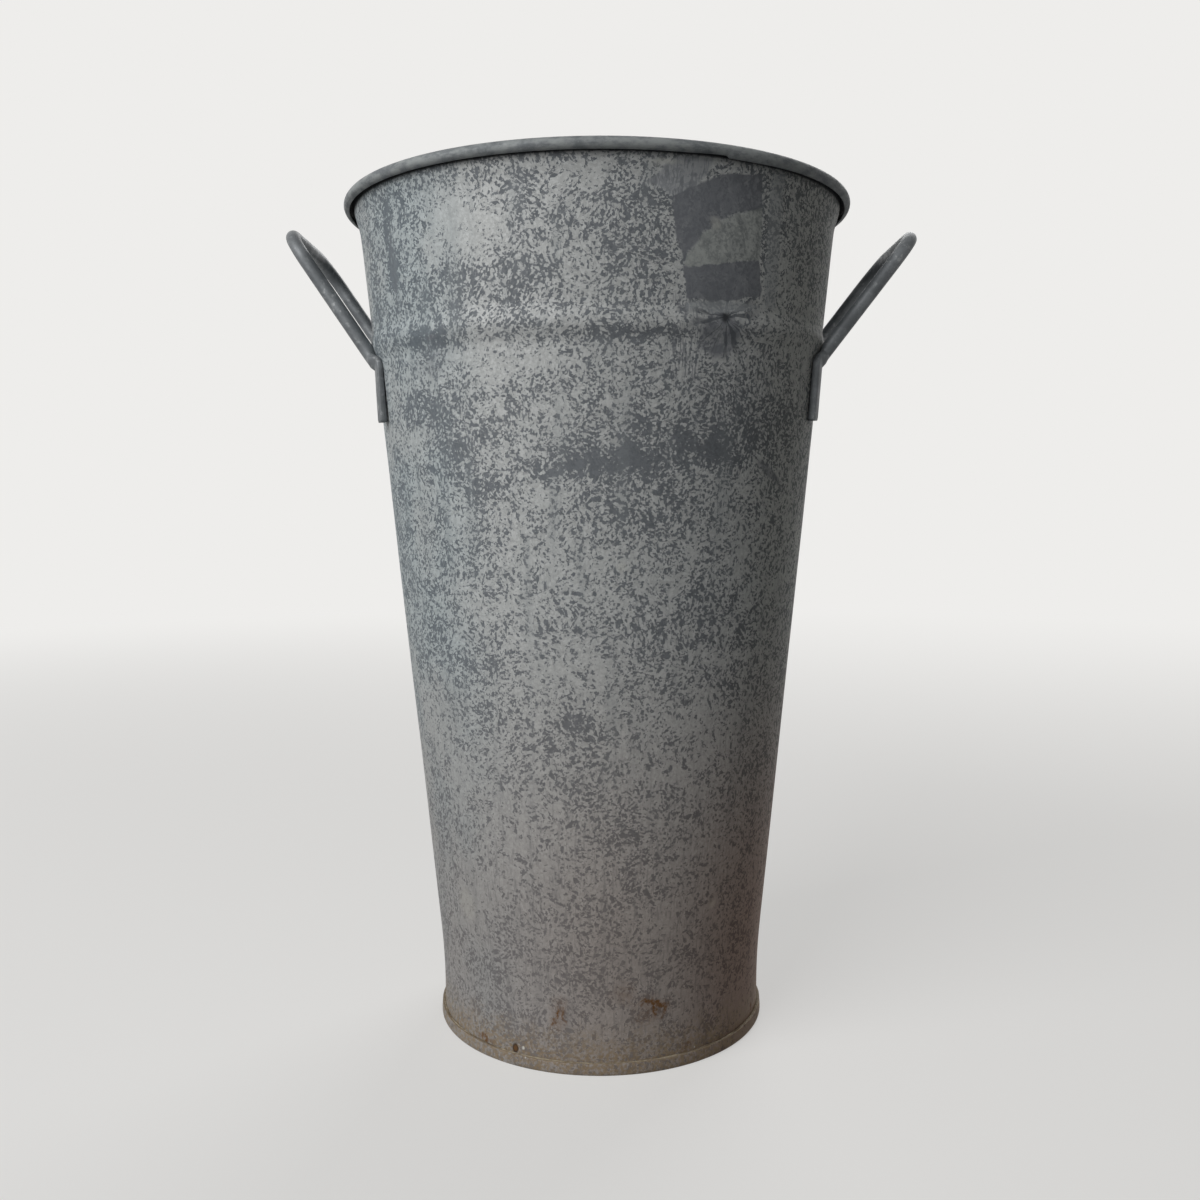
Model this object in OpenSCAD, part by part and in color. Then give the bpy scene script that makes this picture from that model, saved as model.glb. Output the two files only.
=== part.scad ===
// Tall tapered bucket in galvanised sheet steel with two fixed rod handles.
// The origin is the centre of the circle the foot stands on. +Z is up, and the handles lie on the X axis.

/* [Overall size] */

// Height from the standing face to the top of the rolled rim
overall_height = 377; // [250:1:600]
// Diameter across the outside of the rolled rim
rim_diameter = 230; // [160:1:400]
// Diameter across the outside of the hem at the foot
foot_diameter = 154; // [100:1:300]
// Thickness of the sheet
sheet = 0.9; // [0.5:0.1:2]

/* [Rolled rim] */

// Height of the roll
roll_height = 4.6; // [3.6:0.1:9]
// How far the roll stands out from the wall
roll_reach = 4.2; // [3.8:0.1:12]
// How far the edge of the roll turns back in under itself, past its lowest point
roll_tuck = 5; // [0:5:80]
// Height over which the wall flares out below the roll
flare_height = 12; // [6:1:30]
// How far the wall flares out
flare_out = 1.6; // [0.4:0.1:4]

/* [Raised ring] */

// Distance from the top of the rim down to the crest of the raised ring
ring_drop = 65.5; // [30:0.5:120]
// Width of the raised ring
ring_width = 16; // [8:0.5:30]
// How far the ring stands out from the wall
ring_rise = 1.6; // [0.6:0.1:4]

/* [Foot] */

// Height of the folded hem at the foot
hem_height = 5.6; // [4:0.1:12]
// Slit between the lip of the hem and the wall
hem_slit = 0.7; // [0.3:0.1:2]
// Height of the straight part of the wall above the standing face
straight_height = 10; // [7:0.5:30]
// Height over which the wall eases from straight to its full slope
ease_height = 35; // [10:1:60]
// Height of the upper face of the floor above the standing face
floor_height = 8; // [5:0.5:20]

/* [Handles] */

// Diameter of the handle rod
rod_diameter = 6.2; // [4:0.1:10]
// Distance between the two legs of a handle, centre to centre
leg_spacing = 71; // [50:1:100]
// Length of a handle from its bend to the middle of its cross bar
leg_length = 66.5; // [45:0.5:100]
// Radius of the two upper corners of a handle, to the middle of the rod
corner_radius = 17; // [8:0.5:24]
// Lean of the left handle from upright
left_lean = 33.7; // [15:0.1:50]
// Lean of the right handle from upright
right_lean = 37.6; // [15:0.1:50]
// Distance from the top of the rim down to the bend of a handle
bend_drop = 70.5; // [50:0.5:150]
// Distance from the wall out to the middle of the rod at the bend
bend_stand_off = 2.4; // [1.5:0.1:5]
// Length of a flattened foot of a handle below the bend
foot_length = 28.5; // [15:0.5:50]
// Width of a flattened foot
foot_width = 6.8; // [5:0.1:14]
// Thickness of a flattened foot
foot_thickness = 3.6; // [2:0.1:6]

/* [Hidden] */

$fn = 96;

// Working allowance that keeps two touching pieces from sharing volume.
seat = 0.03;

// Rim: the roll is a half circle of this radius, joined to the wall by a flat web and a small bend.
roll_radius = roll_height / 2;
bend_radius = roll_radius - sheet;
roll_middle_z = overall_height - roll_radius;
roll_middle_r = rim_diameter / 2 - roll_radius;
mouth_r = rim_diameter / 2 - roll_reach;
flare_z = roll_middle_z - flare_height;
cone_top_r = mouth_r - flare_out;

// Foot: the hem lip is one sheet thick and stands off the wall by the slit.
hem_r = foot_diameter / 2;
foot_r = hem_r - sheet - hem_slit;
wall_end_z = sheet;
ease_end_z = straight_height + ease_height;

// Outer radius of the wall: straight, easing out to a constant slope, with a soft flare below the roll.
slope = (cone_top_r - foot_r) / (roll_middle_z - ease_end_z + ease_height / 2);
function eased_r(z) = foot_r + slope * pow(z - straight_height, 2) / (2 * ease_height);
function flare(t) = t <= 0 ? 0 : flare_out * t * t * (3 - 2 * t);
function plain_r(z) =
    z <= straight_height ? foot_r
    : z <= ease_end_z ? eased_r(z)
    : cone_top_r - slope * (roll_middle_z - z) + flare((z - flare_z) / flare_height);

// The raised ring adds a smooth swelling on top of the plain wall.
ring_z = overall_height - ring_drop;
ring_low_z = ring_z - ring_width / 2;
ring_high_z = ring_z + ring_width / 2;
function ring_bump(z) =
    abs(z - ring_z) >= ring_width / 2 ? 0
    : ring_rise * (1 + cos(360 * (z - ring_z) / ring_width)) / 2;
function wall_r(z) = plain_r(z) + ring_bump(z);

// Heights at which the wall profile is drawn, from the foot up.
ease_steps = 6;
ring_steps = 10;
flare_steps = 6;
wall_levels = concat(
    [wall_end_z],
    [for (i = [0 : ease_steps]) straight_height + ease_height * i / ease_steps],
    [for (i = [0 : ring_steps]) ring_low_z + ring_width * i / ring_steps],
    [for (i = [0 : flare_steps]) flare_z + flare_height * i / flare_steps]);
wall_count = len(wall_levels);

// Handles: the bend sits on a circle just outside the wall.
rod_radius = rod_diameter / 2;
half_spacing = leg_spacing / 2;
bend_z = overall_height - bend_drop;
bend_r = plain_r(bend_z) + bend_stand_off;
bend_x = sqrt(bend_r * bend_r - half_spacing * half_spacing);
foot_top_z = bend_z;
foot_low_z = bend_z - foot_length;
foot_middle_z = (foot_top_z + foot_low_z) / 2;
foot_angle = asin(half_spacing / plain_r(foot_middle_z));
foot_slope = atan(slope);

// Cross section of the roll: everything of the ring except the part facing the wall.
module roll_2d() {
    translate([roll_middle_r, roll_middle_z]) difference() {
        circle(r = roll_radius);
        circle(r = roll_radius - sheet);
        polygon([
            [0, 0],
            [0, 2 * roll_radius],
            [-2 * roll_radius, 2 * roll_radius],
            [-2 * roll_radius, -2 * roll_radius * cos(roll_tuck)],
            [-2 * roll_radius * sin(roll_tuck), -2 * roll_radius * cos(roll_tuck)]]);
    }
}

// Cross section of the bend at the top of the wall and the flat web out to the roll.
module rim_bend_2d() {
    translate([mouth_r + bend_radius, roll_middle_z]) intersection() {
        difference() {
            circle(r = bend_radius + sheet);
            circle(r = bend_radius);
        }
        translate([-2 * roll_radius, 0]) square([2 * roll_radius, 2 * roll_radius]);
    }
    translate([mouth_r + bend_radius, overall_height - sheet])
        square([roll_middle_r - mouth_r - bend_radius, sheet]);
}

// Cross section of the plain wall from the foot to the rim.
module wall_2d() {
    polygon(concat(
        [for (z = wall_levels) [wall_r(z), z]],
        [for (i = [wall_count - 1 : -1 : 0]) [wall_r(wall_levels[i]) - sheet, wall_levels[i]]]));
}

// One sheet forms the wall, the raised ring and the rolled rim.
module wall() {
    color([0.62, 0.64, 0.65]) rotate_extrude() {
        wall_2d();
        rim_bend_2d();
        roll_2d();
    }
}

// The floor is a pan. Its edge turns down inside the wall and folds up outside it as the hem.
module floor_pan() {
    inner_r = foot_r - sheet - seat;
    color([0.56, 0.57, 0.57]) rotate_extrude() {
        // floor and the skirt inside the wall
        translate([0, floor_height - sheet]) square([inner_r, sheet]);
        translate([inner_r - sheet, 0]) square([sheet, floor_height]);
        // standing face under the end of the wall
        translate([inner_r - sheet, 0]) square([hem_r - inner_r, sheet - seat]);
        // lip outside the wall, with its lower corner rounded
        translate([hem_r - sheet, sheet - seat]) square([sheet, hem_height - sheet + seat]);
        intersection() {
            translate([hem_r - sheet, sheet - seat]) circle(r = sheet - seat, $fn = 32);
            translate([hem_r - sheet, 0]) square([sheet, sheet]);
        }
    }
}

// The outside of the bucket as one plain solid, used to seat the handle feet on the wall.
module wall_envelope() {
    rotate_extrude() polygon(concat(
        [[0, 0]],
        [for (z = wall_levels) [wall_r(z) + seat, z]],
        [[0, roll_middle_z]]));
}

// One leg of a handle, from the bend up to the start of its corner.
module leg() {
    sphere(r = rod_radius, $fn = 32);
    cylinder(r = rod_radius, h = leg_length - corner_radius, $fn = 32);
}

// A quarter turn of rod in the YZ plane, from upright to level towards -Y.
module corner() {
    translate([0, -corner_radius, 0]) rotate([90, 0, 90]) rotate_extrude(angle = 90)
        translate([corner_radius, 0]) circle(r = rod_radius, $fn = 32);
}

// The leaning loop of a handle, drawn upright with its bends on the Y axis.
module loop() {
    for (side = [-1, 1]) translate([0, side * half_spacing, 0]) leg();
    translate([0, half_spacing, leg_length - corner_radius]) corner();
    mirror([0, 1, 0]) translate([0, half_spacing, leg_length - corner_radius]) corner();
    translate([0, half_spacing - corner_radius, leg_length]) rotate([90, 0, 0])
        cylinder(r = rod_radius, h = leg_spacing - 2 * corner_radius, $fn = 32);
}

// A foot of a handle: a flattened bar lying along the slope of the wall, round at its upper end.
module handle_foot(side) {
    rotate([0, 0, side * foot_angle]) translate([plain_r(foot_middle_z), 0, foot_middle_z])
        rotate([0, foot_slope, 0]) {
            translate([-sheet, -foot_width / 2, -foot_length / 2])
                cube([sheet + foot_thickness, foot_width, foot_length]);
            translate([-sheet, 0, foot_length / 2]) rotate([0, 90, 0])
                cylinder(d = foot_width, h = sheet + foot_thickness, $fn = 32);
        }
}

// One whole handle on the +X side.
module handle(lean) {
    difference() {
        union() {
            translate([bend_x, 0, bend_z]) rotate([0, lean, 0]) loop();
            for (side = [-1, 1]) handle_foot(side);
        }
        wall_envelope();
    }
}

module right_handle() {
    color([0.42, 0.43, 0.44]) handle(right_lean);
}

module left_handle() {
    color([0.42, 0.43, 0.44]) rotate([0, 0, 180]) handle(left_lean);
}

wall();
floor_pan();
left_handle();
right_handle();
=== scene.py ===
import math

import bmesh
import bpy
from mathutils import Matrix, Vector, noise


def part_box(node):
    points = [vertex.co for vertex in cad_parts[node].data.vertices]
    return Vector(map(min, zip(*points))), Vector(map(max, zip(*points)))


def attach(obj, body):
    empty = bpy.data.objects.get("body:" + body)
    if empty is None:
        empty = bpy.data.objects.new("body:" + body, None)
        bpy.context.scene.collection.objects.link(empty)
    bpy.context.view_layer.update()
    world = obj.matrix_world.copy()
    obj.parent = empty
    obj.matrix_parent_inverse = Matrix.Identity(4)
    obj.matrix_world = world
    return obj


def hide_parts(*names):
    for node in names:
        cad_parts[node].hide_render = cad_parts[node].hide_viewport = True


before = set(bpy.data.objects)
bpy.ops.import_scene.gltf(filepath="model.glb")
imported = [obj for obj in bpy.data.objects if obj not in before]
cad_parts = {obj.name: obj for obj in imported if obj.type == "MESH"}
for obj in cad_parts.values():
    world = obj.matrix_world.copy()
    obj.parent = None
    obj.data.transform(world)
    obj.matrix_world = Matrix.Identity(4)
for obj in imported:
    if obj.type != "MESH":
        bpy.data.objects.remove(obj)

bl_info = {
    "name": "Weathered Flower Bucket",
    "version": (1, 0, 0),
    "blender": (4, 5, 0),
    "location": "3D View > Sidebar > Bucket",
    "description": "Makes the sheet, hem and handles of a tall galvanised bucket around its CAD frame",
    "category": "Object",
}

MM = 0.001
TURN = 2 * math.pi
STEPS = 240  # round the body
PLAIN_STEPS, RING_STEPS, FLARE_STEPS = 92, 14, 8  # up the wall, over the raised ring, over the flare
LAP = 26.4  # bearing in degrees at which the ends of the rolled edge meet
FOOT_BEARING, FOOT_Z = 22.5, 294 * MM  # where a handle's feet lie: degrees either side of it, and mid height
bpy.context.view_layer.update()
WALL_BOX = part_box("wall")
PAN_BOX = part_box("floor_pan")
LEFT_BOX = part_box("left_handle")
RIGHT_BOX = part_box("right_handle")


def linear(colour):
    """Linear RGB of an sRGB hex colour."""
    parts = [int(colour[i:i + 2], 16) / 255 for i in (1, 3, 5)]
    return tuple(c / 12.92 if c <= 0.04045 else ((c + 0.055) / 1.055) ** 2.4 for c in parts)


# ---- settings

def length(name, description, default):
    return bpy.props.FloatProperty(name=name, description=description, default=default, min=0, precision=5,
                                   unit="LENGTH", subtype="DISTANCE")


def colour(name, description, default):
    return bpy.props.FloatVectorProperty(
        name=name, description=description, default=linear(default), size=3, min=0, max=1, subtype="COLOR")


class BucketSheetSettings(bpy.types.PropertyGroup):
    """Sizes of the sheet-metal body."""
    height: length("Height", "From the standing face to the top of the rolled rim", WALL_BOX[1].z)
    rim_radius: length("Rim radius", "Outer radius of the rolled rim", WALL_BOX[1].y)
    hem_radius: length("Hem radius", "Outer radius of the hem at the foot", PAN_BOX[1].y)
    sheet: length("Sheet", "Thickness of the sheet", 0.9 * MM)
    roll_radius: length("Roll radius", "Outer radius of the rolled edge's section", 2.3 * MM)
    roll_reach: length("Roll reach", "How far the roll stands out from the wall", 4.2 * MM)
    roll_tuck: bpy.props.FloatProperty(
        name="Roll tuck", description="How far the rolled edge turns back in, past its lowest point",
        default=math.radians(5), min=0, max=math.radians(80), unit="ROTATION", subtype="ANGLE")
    flare_height: length("Flare height", "Height over which the wall flares out below the roll", 12 * MM)
    flare_out: length("Flare", "How far the wall flares out below the roll", 1.6 * MM)
    front_dip: length("Front dip", "How much lower the worn rim sits at the front", 0.6 * MM)
    ring_drop: length("Ring drop", "From the top of the rim down to the crest of the raised ring", 65.5 * MM)
    ring_width: length("Ring width", "Width of the raised ring", 16 * MM)
    ring_rise: length("Ring rise", "How far the raised ring stands out", 1.6 * MM)
    hem_height: length("Hem height", "Height of the hem's lip", 5.6 * MM)
    hem_slit: length("Hem slit", "Slit between the hem's lip and the wall", 0.7 * MM)
    straight: length("Straight foot", "Height of the straight part of the wall", 10 * MM)
    ease: length("Easing", "Height over which the wall eases out to its slope", 35 * MM)
    floor_height: length("Floor height", "Height of the floor's upper face", PAN_BOX[1].z)
    dent_depth: length("Dent depth", "Depth of the deepest shallow dent", 1.0 * MM)


class BucketHandleSettings(bpy.types.PropertyGroup):
    """Sizes of the rod handles."""
    rod_radius: length("Rod radius", "Radius of the rod", 3.1 * MM)
    half_spacing: length("Half spacing", "Half the distance between a handle's two legs", 35.5 * MM)
    leg_length: length("Leg length", "From the bend to the middle of the cross bar", 66.5 * MM)
    corner_radius: length("Corner radius", "Radius of the two upper corners", 17 * MM)
    bend_drop: length("Bend drop", "From the top of the rim down to the bend", 70.5 * MM)
    stand_off: length("Stand-off", "From the wall out to the middle of the rod at the bend", 2.4 * MM)
    foot_length: length("Foot length", "Length of a flattened foot below the bend", 28.5 * MM)
    foot_width: length("Foot width", "Width of a flattened foot", 6.6 * MM)


class BucketColourSettings(bpy.types.PropertyGroup):
    """Colours of the weathered zinc."""
    crystal: colour("Pale zinc", "Pale crystals of the zinc", "#b8bab9")
    flake: colour("Dark zinc", "Dark flakes between the pale crystals", "#74787c")
    stain: colour("Stain", "Smooth dark stains and label residue", "#707378")
    rim: colour("Rim", "Rubbed zinc of the rolled rim", "#999d9d")
    inside: colour("Inside", "Dulled zinc of the inside", "#8e908e")
    dirt: colour("Dirt", "Dirt in the hem and around the foot", "#8d7b62")
    rust: colour("Rust", "Rust spots near the foot", "#6b4d31")
    rod: colour("Rod", "Dark zinc of the handle rods", "#74787b")
    rod_speck: colour("Rod specks", "Pale specks on the handle rods", "#a0a3a3")
    floor: colour("Floor", "Studio floor", "#e9e8e6")
    background: colour("Background", "Studio background", "#eeedeb")


# ---- shared shape of the wall

def wall_radius(s, z, ring=True):
    """Outer radius of the wall at height z."""
    foot = s.hem_radius - s.sheet - s.hem_slit
    cone_top = s.rim_radius - s.roll_reach - s.flare_out
    roll_z = s.height - s.roll_radius
    slope = (cone_top - foot) / (roll_z - s.straight - s.ease / 2)
    if z <= s.straight:
        radius = foot
    elif z <= s.straight + s.ease:
        radius = foot + slope * (z - s.straight) ** 2 / (2 * s.ease)
    else:
        flare = smooth_step(roll_z - s.flare_height, roll_z, z)
        radius = cone_top - slope * (roll_z - z) + s.flare_out * flare
    off = z - (s.height - s.ring_drop)
    if ring and abs(off) < s.ring_width / 2:
        radius += s.ring_rise * (1 + math.cos(TURN * off / s.ring_width)) / 2
    return radius


def smooth_step(low, high, value):
    t = min(1, max(0, (value - low) / (high - low)))
    return t * t * (3 - 2 * t)


def blend(low, high, share):
    return low + (high - low) * share


def bearing_of(point):
    """Angle round the bucket from the front, -Y, positive towards +X, in degrees."""
    return math.degrees(math.atan2(point.x, -point.y))


def near_bearing(bearing, middle):
    """How far a bearing is from another, in degrees."""
    return abs((bearing - middle + 180) % 360 - 180)


# Shallow dents: bearing in degrees, height, half width and half height in mm, share of the dent depth.
DENTS = (
    (-36, 297, 11, 9, 0.3),
    (28, 316, 9, 9, 0.6),
    (-8, 150, 34, 40, 0.35),
    (50, 240, 24, 20, 0.4),
    (-62, 120, 22, 34, 0.5),
    (124, 214, 20, 26, 0.8),
    (168, 96, 26, 20, 0.9),
    (-150, 262, 17, 14, 0.9),
    (-118, 168, 26, 34, 0.6),
    (100, 60, 16, 13, 0.7),
)


def wear_in(settings, point):
    """Moves one point of the body in a little, as years of knocks do, and never out of the plain shape."""
    radius = math.hypot(point.x, point.y)
    if radius < 1e-6:
        return
    bearing = bearing_of(point)
    z = point.z
    # long waves that grow upwards, and a fine ripple
    upper = smooth_step(30 * MM, 330 * MM, z)
    wave = 0.5 + 0.5 * noise.noise(Vector((point.x * 14, point.y * 14, z * 9)))
    ripple = 0.5 + 0.5 * noise.noise(Vector((point.x * 55, point.y * 55, z * 40 + 7)))
    inward = (0.15 + 0.45 * upper) * wave * MM + 0.10 * ripple * MM
    for dent_bearing, dent_z, half_width, half_height, share in DENTS:
        across = math.radians(near_bearing(bearing, dent_bearing)) * radius / (half_width * MM)
        along = (z - dent_z * MM) / (half_height * MM)
        inward += settings.dent_depth * share * math.exp(-(across * across + along * along))
    # the handle feet keep the wall true where they sit
    for side in (-1, 1):
        for leg in (-1, 1):
            across = near_bearing(bearing, side * (90 + leg * FOOT_BEARING)) / 9
            along = (z - FOOT_Z) / (26 * MM)
            inward *= 1 - math.exp(-(across ** 4 + along ** 4))
    # the hem and the rolled rim are stiff and stay nearly true
    inward *= smooth_step(4 * MM, 22 * MM, z) * (1 - 0.8 * smooth_step(350 * MM, 372 * MM, z))
    scale = (radius - inward) / radius
    point.x *= scale
    point.y *= scale
    front = max(0, math.cos(math.radians(bearing))) ** 1.3
    point.z -= settings.front_dip * front * smooth_step(330 * MM, 372 * MM, z)


# ---- mesh helpers

def finish_piece(name, bm, materials, node_name):
    """Turns a bmesh into a piece of the model. It stands for one CAD node, if one is named."""
    mesh = bpy.data.meshes.new(name)
    bm.to_mesh(mesh)
    bm.free()
    for material in materials:
        mesh.materials.append(material)
    piece = bpy.data.objects.new(name, mesh)
    bpy.context.scene.collection.objects.link(piece)
    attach(piece, "root")
    if node_name:
        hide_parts(node_name)
    return piece


def spin_profile(points, closed=False):
    """A bmesh of a profile, given as (radius, height), turned once round the Z axis from the back."""
    bm = bmesh.new()
    line = [bm.verts.new((0, radius, z)) for radius, z in points]
    edges = [bm.edges.new(pair) for pair in zip(line, line[1:] + line[:1] * closed)]
    bmesh.ops.spin(bm, geom=line + edges, cent=(0, 0, 0), axis=(0, 0, 1), angle=TURN, steps=STEPS,
                   use_merge=True)
    bmesh.ops.remove_doubles(bm, verts=bm.verts, dist=0.005 * MM)
    bmesh.ops.recalc_face_normals(bm, faces=bm.faces)
    for face in bm.faces:
        face.smooth = True
    return bm


def face_out(bm, vote):
    """Turns an open skin over if most of its faces look the wrong way. A face's vote is then under 0."""
    if sum(vote(face.normal, face.calc_center_median()) for face in bm.faces) < 0:
        bmesh.ops.reverse_faces(bm, faces=bm.faces)


def thicken(piece, thickness, edge):
    """Gives a skin its sheet thickness, half to each side, and eases its cut edges. Its inside and its cut edges
    take the piece's second material."""
    solidify = piece.modifiers.new("sheet", "SOLIDIFY")
    solidify.thickness = thickness
    solidify.offset = 0
    solidify.use_even_offset = True
    solidify.material_offset = solidify.material_offset_rim = 1
    bevel = piece.modifiers.new("cut edges", "BEVEL")
    bevel.width = edge
    bevel.segments = 2
    bevel.limit_method = "ANGLE"
    bevel.angle_limit = math.radians(55)


def arc(centre, radius, start, end, count):
    """Points of an arc in the profile plane, by angle from outwards, counter-clockwise."""
    return [(centre[0] + radius * math.cos(start + (end - start) * i / count),
             centre[1] + radius * math.sin(start + (end - start) * i / count)) for i in range(count + 1)]


# ---- materials

def add(tree, kind, inputs=None, **settings):
    """Adds a node, sets its settings, and links or sets its inputs."""
    made = tree.nodes.new(kind)
    for name, value in settings.items():
        setattr(made, name, value)
    for name, value in (inputs or {}).items():
        if isinstance(value, bpy.types.NodeSocket):
            tree.links.new(value, made.inputs[name])
        else:
            made.inputs[name].default_value = value
    return made


def opaque(rgb):
    return (rgb[0], rgb[1], rgb[2], 1)


def paint(code):
    """A shader colour from an sRGB hex colour."""
    return opaque(linear(code))


def new_material(name):
    material = bpy.data.materials.new(name)
    material.use_nodes = True
    tree = material.node_tree
    tree.nodes.clear()
    return material, tree


def calc(tree, operation, *values):
    """Result of one sum on numbers and sockets."""
    return add(tree, "ShaderNodeMath", dict(enumerate(values)), operation=operation).outputs[0]


def times(tree, first, second):
    return calc(tree, "MULTIPLY", first, second)


def plus(tree, first, second):
    return calc(tree, "ADD", first, second)


def ramp_to(tree, value, low, high, to_low=0.0, to_high=1.0, smooth=True):
    """value taken from low..high to to_low..to_high, clamped."""
    return add(tree, "ShaderNodeMapRange",
               {"Value": value, "From Min": low, "From Max": high, "To Min": to_low, "To Max": to_high},
               interpolation_type="SMOOTHSTEP" if smooth else "LINEAR", clamp=True).outputs[0]


def by_share(tree, share, low, high):
    """low to high as share goes from 0 to 1."""
    return ramp_to(tree, share, 0.0, 1.0, low, high, smooth=False)


def tint(tree, factor, first, second, blend="MIX"):
    """first mixed with second by factor."""
    return add(tree, "ShaderNodeMix", {0: factor, 6: first, 7: second},
               data_type="RGBA", blend_type=blend).outputs[2]


def filtered(tree, factor, shade, filter_colour):
    """shade seen through a coloured filter, by factor."""
    return tint(tree, factor, shade, filter_colour, "MULTIPLY")


def pattern(tree, vector, size, detail=2.0, rough=0.5, stretch=(1, 1, 1), shift=(0, 0, 0)):
    """Cloudy noise whose lumps are size mm across, on coordinates in mm."""
    place = on_vectors(tree, "MULTIPLY_ADD", vector, tuple(k / size for k in stretch), shift)
    return add(tree, "ShaderNodeTexNoise", {
        "Vector": place, "Scale": 1.0, "Detail": detail, "Roughness": rough}).outputs["Fac"]


def on_vectors(tree, operation, *values, result="Vector"):
    """Result of one sum on vectors."""
    return add(tree, "ShaderNodeVectorMath", dict(enumerate(values)), operation=operation).outputs[result]


def scaled(tree, vector, factor):
    return add(tree, "ShaderNodeVectorMath", {0: vector, "Scale": factor}, operation="SCALE").outputs[0]


def cells(tree, vector, size):
    """Cells about size mm across, on coordinates in mm."""
    return add(tree, "ShaderNodeTexVoronoi", {"Vector": vector, "Scale": 1 / size})


def close_material(tree, shade, relief, strength, depth, inputs):
    """Joins colour, fine relief and whatever else the surface needs to the material's output."""
    bump = add(tree, "ShaderNodeBump", {"Strength": strength, "Distance": depth, "Height": relief})
    surface = add(tree, "ShaderNodeBsdfPrincipled", {
        "Base Color": shade, "Normal": bump.outputs[0], **inputs})
    add(tree, "ShaderNodeOutputMaterial", {"Surface": surface.outputs[0]})


def as_vector(tree, colour):
    """A colour's three channels as a vector."""
    parts = add(tree, "ShaderNodeSeparateColor", {0: colour})
    return add(tree, "ShaderNodeCombineXYZ", {k: parts.outputs[k] for k in range(3)}).outputs[0]


def places(tree):
    """Position in mm, bearing in degrees from the front, and height in mm."""
    where = add(tree, "ShaderNodeTexCoord").outputs["Object"]
    position = scaled(tree, where, 1 / MM)
    axes = add(tree, "ShaderNodeSeparateXYZ", {0: position})
    forward = times(tree, axes.outputs[1], -1.0)
    bearing = times(tree, calc(tree, "ARCTAN2", axes.outputs[0], forward), 180 / math.pi)
    return position, bearing, axes.outputs[2]


DEGREE = 1.75  # mm of wall for one degree of bearing, taken at the upper half of the wall


def unrolled(tree, position, bearing, height, wobble):
    """The wall laid flat: mm round from the front and mm up, with the given wobble in mm."""
    flat = add(tree, "ShaderNodeCombineXYZ", {0: times(tree, bearing, DEGREE), 2: height}).outputs[0]
    for size, reach in wobble:
        swirl = add(tree, "ShaderNodeTexNoise", {
            "Vector": scaled(tree, position, 1 / size), "Scale": 1.0, "Detail": 1.0}).outputs["Color"]
        centred = on_vectors(tree, "SUBTRACT", as_vector(tree, swirl), (0.5, 0.5, 0.5))
        flat = on_vectors(tree, "ADD", flat, scaled(tree, centred, reach * 2))
    return flat


def patch(tree, flat, bearing, height, half_width, half_height, soft, strength, turn=0):
    """A soft patch on the unrolled wall."""
    if turn:
        place = add(tree, "ShaderNodeMapping", {
            "Vector": flat, "Location": (bearing * DEGREE, 0, height),
            "Rotation": (0, -math.radians(turn), 0), "Scale": (half_width, 1000, half_height)},
            vector_type="TEXTURE").outputs[0]
    else:
        place = on_vectors(tree, "MULTIPLY_ADD", flat, (1 / half_width, 0, 1 / half_height),
                           (-bearing * DEGREE / half_width, 0, -height / half_height))
    reach = on_vectors(tree, "LENGTH", place, result="Value")
    return ramp_to(tree, reach, 1 - soft, 1 + soft * 0.3, strength, 0.0)


def patches(tree, flat, rows):
    """The sum of several soft patches. The turned ones come last, so that fewer values wait at once."""
    total = None
    for row in sorted(rows, key=len):
        value = patch(tree, flat, *row)
        total = value if total is None else plus(tree, total, value)
    return total


def within(tree, flat, corners, soft=0.8, strength=1.0):
    """strength inside a convex outline on the unrolled wall. Its corners run clockwise."""
    nearest = None
    for (bearing, height), (next_bearing, next_height) in zip(corners, corners[1:] + corners[:1]):
        side = Vector(((next_bearing - bearing) * DEGREE, next_height - height)).normalized()
        inward = (side.y, 0, -side.x)
        depth = on_vectors(tree, "DOT_PRODUCT", flat, inward, result="Value")
        depth = calc(tree, "SUBTRACT", depth, inward[0] * bearing * DEGREE + inward[2] * height)
        nearest = depth if nearest is None else calc(tree, "MINIMUM", nearest, depth)
    return ramp_to(tree, nearest, -soft / 2, soft / 2, 0.0, strength)


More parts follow.
